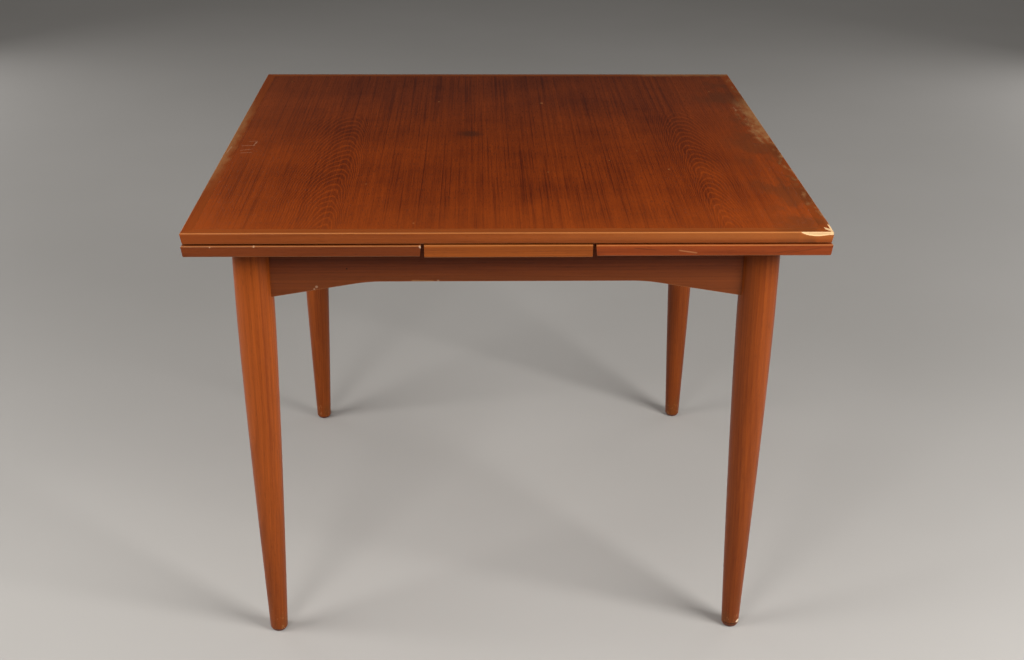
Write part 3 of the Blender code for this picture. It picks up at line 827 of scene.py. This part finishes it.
def edging(half_x, half_y, thickness, undercut, side, mitred=True, damage=None, seed=0.0):
    """One strip of edging round a board centred on its own origin, standing on z = 0.

    damage(point) gives the push a blow gave to that spot, and how bare it left the wood.
    """
    out = Vector((*SIDE_WAYS[side], 0))
    along = Vector((abs(out.y), abs(out.x), 0))
    reach, half_run = (half_x, half_y) if out.x else (half_y, half_x)
    profile = edge_profile(thickness, undercut)
    stations = [i / 24 for i in range(-24, 25)]
    if damage:
        close = {round(0.86 + i * 0.0025, 4) for i in range(57)}
        stations = sorted({round(station, 4) for station in stations} | close)
    bm = bmesh.new()
    rubbed_and_highlit = bm.verts.layers.float.new("rubbed_and_highlit")
    bare = bm.verts.layers.float.new("bare")
    rings = []
    for station in stations:
        ring = []
        for inset, height, arris_rub_and_highlight in profile:
            run = station * (half_run - (inset + 0.00005 if mitred else 0.0))
            waver = noise.noise(Vector((run * 30, seed, height * 100))) * 0.00018 * arris_rub_and_highlight
            point = out * (reach - inset - abs(waver)) + along * run + Vector((0, 0, height))
            push, raw = damage(point) if damage else (Vector(), 0.0)
            vert = bm.verts.new(point + push)
            # The arris value pales the colour: rubbed finish and a painted highlight together.
            vert[rubbed_and_highlit] = arris_rub_and_highlight
            vert[bare] = raw
            ring.append(vert)
        rings.append(ring)
    skin(bm, rings, capped=False)
    bm.faces.new(rings[0])
    bm.faces.new(rings[-1])
    return bm


board_low, board_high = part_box("centre_board_lipping_front")
board_half_x = (board_high.x - board_low.x) / 2
board_half_y = -board_low.y
board_thickness = board_high.z - board_low.z
for side in ("front", "back"):
    add_piece(
        f"centre_board_edging_{side}",
        edging(board_half_x, board_half_y, board_thickness, LEAF_UNDERCUT, side, mitred=False),
        EDGING_X, "frame",
        [f"centre_board_lipping_{side}"], (0, 0, board_low.z),
        tint=BOARD_EDGING_TINT,
    )

# ---------------------------------------------------------------- felt pads and board screws
# The loose top rests on two strips of thin green wool felt.  Slotted, countersunk screws
# hold the centre board down, their heads just below its face.


def felt(name, colour):
    """Pressed wool felt: matted fibres, no weave."""
    material, shader, place = start_material(name, 0.95, 0.15)
    shader.inputs["Sheen Weight"].default_value = 0.5
    shader.inputs["Sheen Roughness"].default_value = 0.6
    hairs = even_cloud(place, 1800.0, 5.0, 0.7)
    matted = even_cloud(place, 260.0, 3.0)
    dull = tuple(channel * 0.45 for channel in colour)
    shade = blend_colours(hairs * 1.2 + matted + 0.5, dull, colour)
    dress(shader, shade, None, hairs + matted * 0.5, 0.0004, 0.8)
    return material


GREEN_FELT = felt("green_felt", (0.06, 0.13, 0.075))
for end in ("front", "back"):
    low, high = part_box(f"felt_pad_{end}")
    low = low - Vector((0, 0, 0.0002))
    high = high + Vector((0, 0, 0.0001))
    add_piece(
        f"wool_felt_{end}", block(low, high, 0.0004),
        GREEN_FELT, "frame",
        [f"felt_pad_{end}"], (low + high) / 2,
    )
    for side in ("left", "right"):
        low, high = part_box(f"centre_board_screw_{end}_{side}")
        radius = (high.x - low.x) / 2
        add_piece(
            f"slotted_screw_{end}_{side}", slotted_head(radius, radius / 2),
            ZINC, "frame",
            [f"centre_board_screw_{end}_{side}"], ((low.x + high.x) / 2, (low.y + high.y) / 2, high.z),
            (0, 0, low.x * 9 + low.y * 4),
        )

# ---------------------------------------------------------------- bearers and stop pegs
# Two beech bearers are screwed under each leaf and run through the side rail's notches
# and over the middle rail.  A peg through each one meets the side rail and stops the leaf.

BEECH_X = beech("beech_x", "x")
SIDES = {"left": -1, "right": 1}
BEARER_ARRIS = 0.0008
BEARER_SCREWS = (0.17, 0.37)
HALF_LEAF_JOINT = 0.00225
PEG_ROUNDING = 0.001
for side, way in SIDES.items():
    for end in ("front", "back"):
        low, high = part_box(f"{side}_bearer_{end}")
        middle = (low + high) / 2
        inner_low, inner_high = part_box(f"{side}_leaf_lipping_{'right' if way < 0 else 'left'}")
        step_x = inner_low.x if way > 0 else -inner_high.x
        outer = (high.x if way > 0 else -low.x) - way * middle.x
        tail = (low.x if way > 0 else -high.x) - way * middle.x
        nose = (high.z - low.z) / 2
        shoulder = step_x - HALF_LEAF_JOINT - way * middle.x
        outline = [
            (tail, low.z), (outer - nose, low.z), (outer, high.z - nose), (outer, high.z),
            (shoulder, high.z), (shoulder, FRAME_TOP), (tail, FRAME_TOP),
        ]
        outline = [(way * u, v - middle.z) for u, v in outline]
        half = (high.y - low.y) / 2
        add_piece(
            f"planed_bearer_{side}_{end}",
            ease(extrude(outline, lambda u, v, d: (u, d, v), -half, half), BEARER_ARRIS),
            BEECH_X, f"{side}_leaf",
            [f"{side}_bearer_{end}"], middle,
        )
        for number, reach in enumerate(BEARER_SCREWS):
            add_piece(
                f"bearer_screw_{side}_{end}_{number + 1}", slotted_head(SCREW_RADIUS, SCREW_HEAD),
                ZINC, f"{side}_leaf",
                at=(way * reach, middle.y, low.z + 0.0001),
                turn=(math.pi, 0, reach * 5),
            )
        low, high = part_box(f"{side}_stop_peg_{end}")
        peg_radius = (high.x - low.x) / 2
        peg_half = (high.y - low.y) / 2
        across, up = peg_radius - PEG_ROUNDING, peg_half - PEG_ROUNDING
        peg_profile = arc((across, -up), PEG_ROUNDING, 270, 360, 4)
        peg_profile += arc((across, up), PEG_ROUNDING, 0, 90, 4)
        add_piece(
            f"turned_peg_{side}_{end}", lathe(peg_profile, 32),
            BEECH_Z, f"{side}_leaf",
            [f"{side}_stop_peg_{end}"], (low + high) / 2,
            (math.pi / 2, 0, 0),
        )

# ---------------------------------------------------------------- leaves
# Each leaf is a veneered panel edged all round in solid teak, mitred at the corners.  The
# leaves have been shut away under the top, so their faces have kept a fresher colour.

LEAF_VENEER = veneer("leaf_veneer", crowns=[(0.02, 0.25, 0.03, -0.2)], **FRESH_TONES)


def left_leaf_marks(place):
    """Nicks along the upper front edge of the leaf, and a bruised inner corner."""
    facing = (place["y"] * -1.0).step(0.446, 0.447)
    nicks = spot(place, -0.0645, 0.0158, 0.0017) + spot(place, -0.1245, 0.015, 0.0013)
    corner = spot(place, 0.164, 0.015, 0.003)
    return [
        (nicks * facing * 0.75, (0.62, 0.42, 0.26)),
        (corner * facing * 0.6, (0.64, 0.47, 0.34)),
    ]


def right_leaf_marks(place):
    """A dark vein across the leaf's front edge, a pale scratch, and slanting grain at its end."""
    facing = (place["y"] * -1.0).step(0.446, 0.447)
    vein = scored(place, (-0.113, 0.0125), (-0.08, 0.009), 0.0009)
    slant = scored(place, (0.098, 0.0035), (0.15, 0.0125), 0.0014)
    slant = slant + scored(place, (0.08, 0.0035), (0.12, 0.01), 0.001)
    rub = scored(place, (-0.051, 0.0088), (-0.023, 0.0045), 0.0014)
    return [
        ((vein + slant * 0.6) * facing * 0.55, (0.07, 0.016, 0.004)),
        (rub * facing * 0.45, (0.45, 0.2, 0.08)),
    ]


LEAF_EDGING_X = {
    side: teak(f"{side}_edging_teak_x", "x", layers=marks, **EDGING_WOOD)
    for side, marks in (("left", left_leaf_marks), ("right", right_leaf_marks))
}
# The right leaf is tinted lighter and the left one darker: partly their own tone, partly painted light
# falling from the right.
LEAF_TINTS = {"left": (0.84, 0.7, 0.66), "right": (1.2, 0.88, 0.78)}
PANEL_INSET = EDGE_WIDTH + 0.0001
PANEL_ARRIS = 0.0001
for side, way in SIDES.items():
    low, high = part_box(f"{side}_leaf_lipping_left")
    far_low, far_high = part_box(f"{side}_leaf_lipping_right")
    half_x = (far_high.x - low.x) / 2
    half_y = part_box(f"{side}_leaf_lipping_back")[1].y
    thickness = high.z - low.z
    origin = ((low.x + far_high.x) / 2, 0, low.z)
    for strip in SIDE_WAYS:
        add_piece(
            f"{side}_leaf_edging_{strip}",
            edging(half_x, half_y, thickness, LEAF_UNDERCUT, strip, seed=way * 3.0),
            EDGING_Y if strip in ("left", "right") else LEAF_EDGING_X[side],
            f"{side}_leaf",
            [f"{side}_leaf_lipping_{strip}"], origin,
            tint=LEAF_TINTS[side],
        )
    half = Vector((half_x - PANEL_INSET, half_y - PANEL_INSET, thickness / 2))
    add_piece(
        f"{side}_leaf_veneered_panel", block(-half, half, PANEL_ARRIS),
        LEAF_VENEER, f"{side}_leaf",
        [f"{side}_leaf_panel"], (origin[0], 0, low.z + thickness / 2),
        # A little darker on the left leaf: partly its own tone, partly painted shade.
        tint=0.95 if way < 0 else 1.0,
    )

# ---------------------------------------------------------------- loose top
# The top is a board veneered with crown-cut teak, two flames of it running from front to
# back, and edged in solid teak.  It has darkened and worn: the finish has gone along the
# right edge, the front right corner is chipped to bare wood, and there are small nicks.
# Its colour also holds painted light over the margins and front, painted shade towards
# the back, and a painted highlight along the front arris.

top_low, top_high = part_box("top_lipping_front")
TOP_HALF_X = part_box("top_lipping_right")[1].x
TOP_HALF_Y = -top_low.y
TOP_THICKNESS = top_high.z - top_low.z
NICKS = (
    (0.0745, 0.2316, 0.0035), (-0.1118, 0.2416, 0.0025), (0.2565, -0.164, 0.0022),
    (-0.132, -0.41, 0.0018), (0.067, -0.178, 0.0016), (-0.211, -0.236, 0.0016),
    (0.217, -0.066, 0.0016), (0.167, -0.118, 0.0016), (-0.396, 0.39, 0.0022),
    (0.393, 0.315, 0.0026),
)
SCRATCHES = (
    ((-0.42, -0.011), (-0.407, -0.009)), ((-0.407, -0.016), (-0.409, -0.036)),
    ((-0.406, -0.009), (-0.406, -0.024)), ((-0.429, -0.035), (-0.405, -0.033)),
    ((-0.427, -0.061), (-0.409, -0.055)), ((-0.425, -0.075), (-0.405, -0.073)),
    ((-0.443, -0.036), (-0.446, -0.075)), ((0.42, 0.205), (0.4215, 0.178)),
)
WORN = (0.32, 0.155, 0.058)
GRUBBY = (0.06, 0.02, 0.0055)
# Colour of the painted light over the top's margins and front.
PAINTED_LIGHT_TONE = (0.29, 0.056, 0.0055)
# Colour of the painted shade towards the back of the top.
PAINTED_SHADE_TONE = (0.04, 0.006, 0.0006)
# Colour of the painted highlight along the top's front arris.
PAINTED_HIGHLIGHT_TONE = (0.43, 0.135, 0.03)
DAMP = (0.038, 0.009, 0.003)
SCRATCHED = (0.42, 0.23, 0.14)


def top_marks(place):
    """Painted light over the margins and front, painted shade towards the back, a painted highlight on
    the front arris, a worn right edge, a dark spot of damp, nicks and scratches.
    """
    x, y = place["x"], place["y"]
    rough = cloud(x * 90.0, y * 34.0, 5.0, 4.0, 0.65)
    soft = cloud(x * 14.0, y * 9.0, 8.0, 3.0)
    # Painted light: the top is paler towards its left and right margins and towards its front.
    painted_light_margins = (x.size() + soft * 0.1).step(0.26, 0.47) + (y * -1.0 + soft * 0.16).step(0.25, 0.47)
    grubby = (x + soft * 0.2).step(0.36, 0.43) * (soft * 1.6 + rough * 0.6 + 0.1).step(0.0, 0.22)
    right = (x + rough * 0.075).step(0.416, 0.446)
    stretch = (y + rough * 0.16).step(-0.06, 0.06) * (y + rough * 0.12).step(0.29, 0.2)
    thin = (x + rough * 0.04).step(0.438, 0.45) * (rough + 0.5).step(0.46, 0.66)
    left = (x * -1.0 + rough * 0.03).step(0.432, 0.449) * (y.size() + rough * 0.3).step(0.3, 0.12)
    back = (y + rough * 0.04).step(0.425, 0.446) * (x - soft * 0.2).step(0.24, 0.3)
    # Painted highlight along the front arris, stronger towards the right.
    front = (y * -1.0).step(0.448, 0.4492) * (x + soft * 0.2).step(-0.05, 0.34)
    stain = (distance_to(place, -0.054, 0.033, "y") + soft * 0.012).step(0.027, 0.006)
    layers = [
        (painted_light_margins * 0.26, PAINTED_LIGHT_TONE),
        (grubby * 0.45, GRUBBY),
        (right * stretch * (rough * 0.9 + 0.62), WORN),
        (thin * 0.5, WORN),
        (left * 0.5, WORN),
        (back * 0.5, WORN),
        # Painted shade: the top is darker towards its back.
        (y.step(-0.1, 0.42) * 0.16, PAINTED_SHADE_TONE),
        (front * 0.42, PAINTED_HIGHLIGHT_TONE),
        (stain * 0.7, DAMP),
    ]
    for spot_x, spot_y, size in NICKS:
        layers.append((spot(place, spot_x, spot_y, size, "y") * 0.6, RUBBED_TEAK_AND_HIGHLIGHT))
    for start, end in SCRATCHES:
        layers.append((scored(place, start, end, 0.001, "y") * 0.5, SCRATCHED))
    return layers


TOP_VENEER = veneer(
    "top_veneer",
    crowns=[(-0.2565, 0.15, 0.0, 0.28), (0.306, 0.175, 0.005, -0.16)],
    joint=0.0185,
    layers=top_marks,
    **VENEER_TONES,
)
FRONT_TONES = {"pale": (0.25, 0.06, 0.0095), "dark": (0.115, 0.024, 0.0034)}
SIDE_TONES = {"pale": (0.2, 0.038, 0.0045), "dark": (0.087, 0.0145, 0.0016)}
TOP_EDGING_X = teak("top_edging_x", "x", layers=top_marks, **FRONT_TONES, **EDGING_CUT)
TOP_EDGING_Y = teak("top_edging_y", "y", layers=top_marks, **SIDE_TONES, **EDGING_CUT)

TOP_UNDERCUT = 0.002
CHIP_START = 0.404
CHIP_DROP = 0.0064
CHIP_DEPTH = 0.0012
SPLINTER_LENGTH = 0.037
SPLINTER_DROP = 0.0042


def knocked_corner(point):
    """A long lens knocked out of the front arris, and splinters up the right-hand one."""
    below = TOP_THICKNESS - point.z
    from_front = point.y + TOP_HALF_Y
    from_right = TOP_HALF_X - point.x
    share = (point.x - CHIP_START) / (TOP_HALF_X - CHIP_START)
    push, raw = Vector(), 0.0
    if share > 0 and from_front < 0.0012:
        drop = CHIP_DROP * math.sin(math.pi * min(1.0, share) ** 0.85 * 0.9) ** 0.7
        inside = min(1.0, max(0.0, (drop - below) / 0.001))
        raw = min(1.0, max(0.0, 0.5 + (drop - below) / 0.0012))
        push += Vector((0, CHIP_DEPTH, 0)) * inside
    ragged = 0.55 + 1.1 * abs(noise.noise(Vector((point.y * 330, 1.7, 0.0))))
    up_side = 1 - from_front / SPLINTER_LENGTH
    if up_side > 0 and from_right < 0.0045 * up_side * ragged + 0.0012:
        drop = SPLINTER_DROP * up_side * ragged
        inside = min(1.0, max(0.0, (drop - below) / 0.001))
        raw = max(raw, min(1.0, max(0.0, 0.5 + (drop - below) / 0.0012)))
        push += Vector((-CHIP_DEPTH * 0.9, 0, 0)) * inside
    return push, raw


for strip in SIDE_WAYS:
    add_piece(
        f"top_edging_{strip}",
        edging(TOP_HALF_X, TOP_HALF_Y, TOP_THICKNESS, TOP_UNDERCUT, strip, True, knocked_corner, 1.0),
        TOP_EDGING_X if strip in ("front", "back") else TOP_EDGING_Y, "top",
        [f"top_lipping_{strip}"], (0, 0, top_low.z),
    )
half = Vector((TOP_HALF_X - PANEL_INSET, TOP_HALF_Y - PANEL_INSET, TOP_THICKNESS / 2))
add_piece(
    "top_veneered_panel", block(-half, half, PANEL_ARRIS),
    TOP_VENEER, "top",
    ["top_panel"], (0, 0, top_low.z + TOP_THICKNESS / 2),
)

# ---------------------------------------------------------------- guide pins
# Two beech pins are glued into the underside of the top.  They drop into the centre
# board's holes, so that the top stays square while the leaves are drawn.

for end in ("front", "back"):
    low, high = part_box(f"guide_pin_{end}")
    radius = (high.x - low.x) / 2
    length = high.z - low.z + 0.0002
    pin_profile = arc((radius - 0.005, 0.005), 0.005, 275, 360, 6)
    pin_profile += [(radius, length * 0.5), (radius, length)]
    add_piece(
        f"turned_guide_pin_{end}", lathe(pin_profile, 40),
        BEECH_Z, "top",
        [f"guide_pin_{end}"], ((low.x + high.x) / 2, (low.y + high.y) / 2, low.z),
    )

# ---------------------------------------------------------------- floor, light and camera
# A plain pale floor under soft boxes: two in front, one at the left and two weak ones
# behind.  The camera stands in front at eye height and looks down on the table a little.

floor_material, floor_shader, floor_place = start_material("studio_floor", 0.65, 0.3)
floor_tint = cloud(floor_place["x"] * 1.5, floor_place["y"] * 1.5, 0.0, 3.0)
floor_colour = blend_colours(floor_tint + 0.5, (0.386, 0.377, 0.364), (0.429, 0.419, 0.409))
floor_material.node_tree.links.new(floor_colour, floor_shader.inputs["Base Color"])
floor_mesh = bmesh.new()
bmesh.ops.create_grid(floor_mesh, x_segments=8, y_segments=8, size=60)
floor_data = bpy.data.meshes.new("studio_floor")
floor_mesh.to_mesh(floor_data)
floor_mesh.free()
floor_data.materials.append(floor_material)
floor = bpy.data.objects.new("studio_floor", floor_data)
bpy.context.scene.collection.objects.link(floor)

world = bpy.data.worlds.new("studio")
bpy.context.scene.world = world
world.use_nodes = True
sky = world.node_tree
heading = sky.nodes.new("ShaderNodeTexCoord")
split = sky.nodes.new("ShaderNodeSeparateXYZ")
sky.links.new(heading.outputs["Generated"], split.inputs[0])
height = Field(split.outputs["Z"])
overhead = height.step(0.45, 0.95) * 0.34 + height.step(0.2, 0.1) * 0.05 + 0.035
sky.links.new(overhead.socket, sky.nodes["Background"].inputs["Strength"])
sky.nodes["Background"].inputs["Color"].default_value = (1.0, 0.965, 0.92, 1.0)
bpy.context.scene.view_settings.view_transform = "Standard"


def soft_box(name, at, target, size, power, colour):
    """A square studio light aimed at a point."""
    light = bpy.data.lights.new(name, "AREA")
    light.shape = "SQUARE"
    light.size = size
    light.energy = power
    light.color = colour
    lamp = bpy.data.objects.new(name, light)
    lamp.location = at
    lamp.rotation_euler = (Vector(target) - Vector(at)).to_track_quat("-Z", "Y").to_euler()
    bpy.context.scene.collection.objects.link(lamp)


WARM = (1.0, 0.97, 0.93)
NEUTRAL = (1.0, 0.98, 0.96)
soft_box("left_light", (-1.05, -2.45, 2.0), (-0.35, 0, 0.3), 0.7, 25, WARM)
soft_box("side_light", (-2.3, -0.75, 1.9), (-0.45, -0.2, 0.4), 1.4, 50, WARM)
soft_box("right_light", (2.0, -1.6, 1.8), (0.2, -0.1, 0.5), 1.2, 92, WARM)
soft_box("rear_left_light", (-3.0, 2.9, 0.9), (0, 0.2, 0.35), 1.6, 22, NEUTRAL)
soft_box("rear_right_light", (3.1, 2.7, 0.9), (0, 0.2, 0.35), 1.6, 22, NEUTRAL)

CAMERA_AT = (-0.0431, -2.2499, 1.3707)
SENSOR = 36.0
LENS = 49.04296875
PITCH = math.radians(24.14)
HEADING = math.radians(1.54)
ROLL = math.radians(0.387)
level = Vector((math.cos(HEADING), -math.sin(HEADING), 0))
ahead = Vector((math.sin(HEADING), math.cos(HEADING), 0))
forward = ahead * math.cos(PITCH) - Vector((0, 0, math.sin(PITCH)))
upward = level.cross(forward)
right = level * math.cos(ROLL) + upward * math.sin(ROLL)
up = upward * math.cos(ROLL) - level * math.sin(ROLL)
camera_data = bpy.data.cameras.new("camera")
camera_data.sensor_width = SENSOR
camera_data.lens = LENS
camera = bpy.data.objects.new("camera", camera_data)
bpy.context.scene.collection.objects.link(camera)
turned = Matrix((right, up, -forward)).transposed().to_4x4()
camera.matrix_world = Matrix.Translation(CAMERA_AT) @ turned
bpy.context.scene.camera = camera
